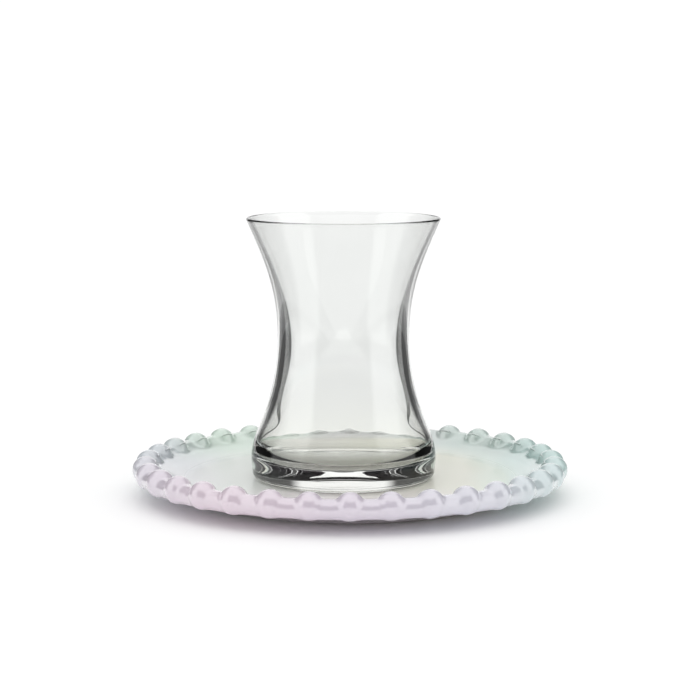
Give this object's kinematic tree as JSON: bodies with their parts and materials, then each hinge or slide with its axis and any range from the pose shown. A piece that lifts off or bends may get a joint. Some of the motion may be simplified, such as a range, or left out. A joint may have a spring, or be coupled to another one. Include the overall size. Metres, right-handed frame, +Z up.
{
  "type": "turkish_tea_glass",
  "caption": "Small clear waisted tea glass with a heavy bottom, empty, standing on a round pressed glass saucer with a pearl bead edge and a pale iridescent lustre.",
  "frame": {"origin": "centre of the saucer's foot, on the table it stands on", "axes": "+Z up through the saucer's centre, -Y towards the front, +X to the right"},
  "size_m": [0.1394, 0.14, 0.0893],
  "materials": {
    "clear_glass": "clear polished glass, thin grey green edge tint",
    "lustre_glass": "pressed glass, milky satin well, pearl lustre in pink, mint and pale blue"
  },
  "bodies": {
    "root": {"tea_glass": "clear_glass", "saucer": "lustre_glass"}
  },
  "joints": []
}
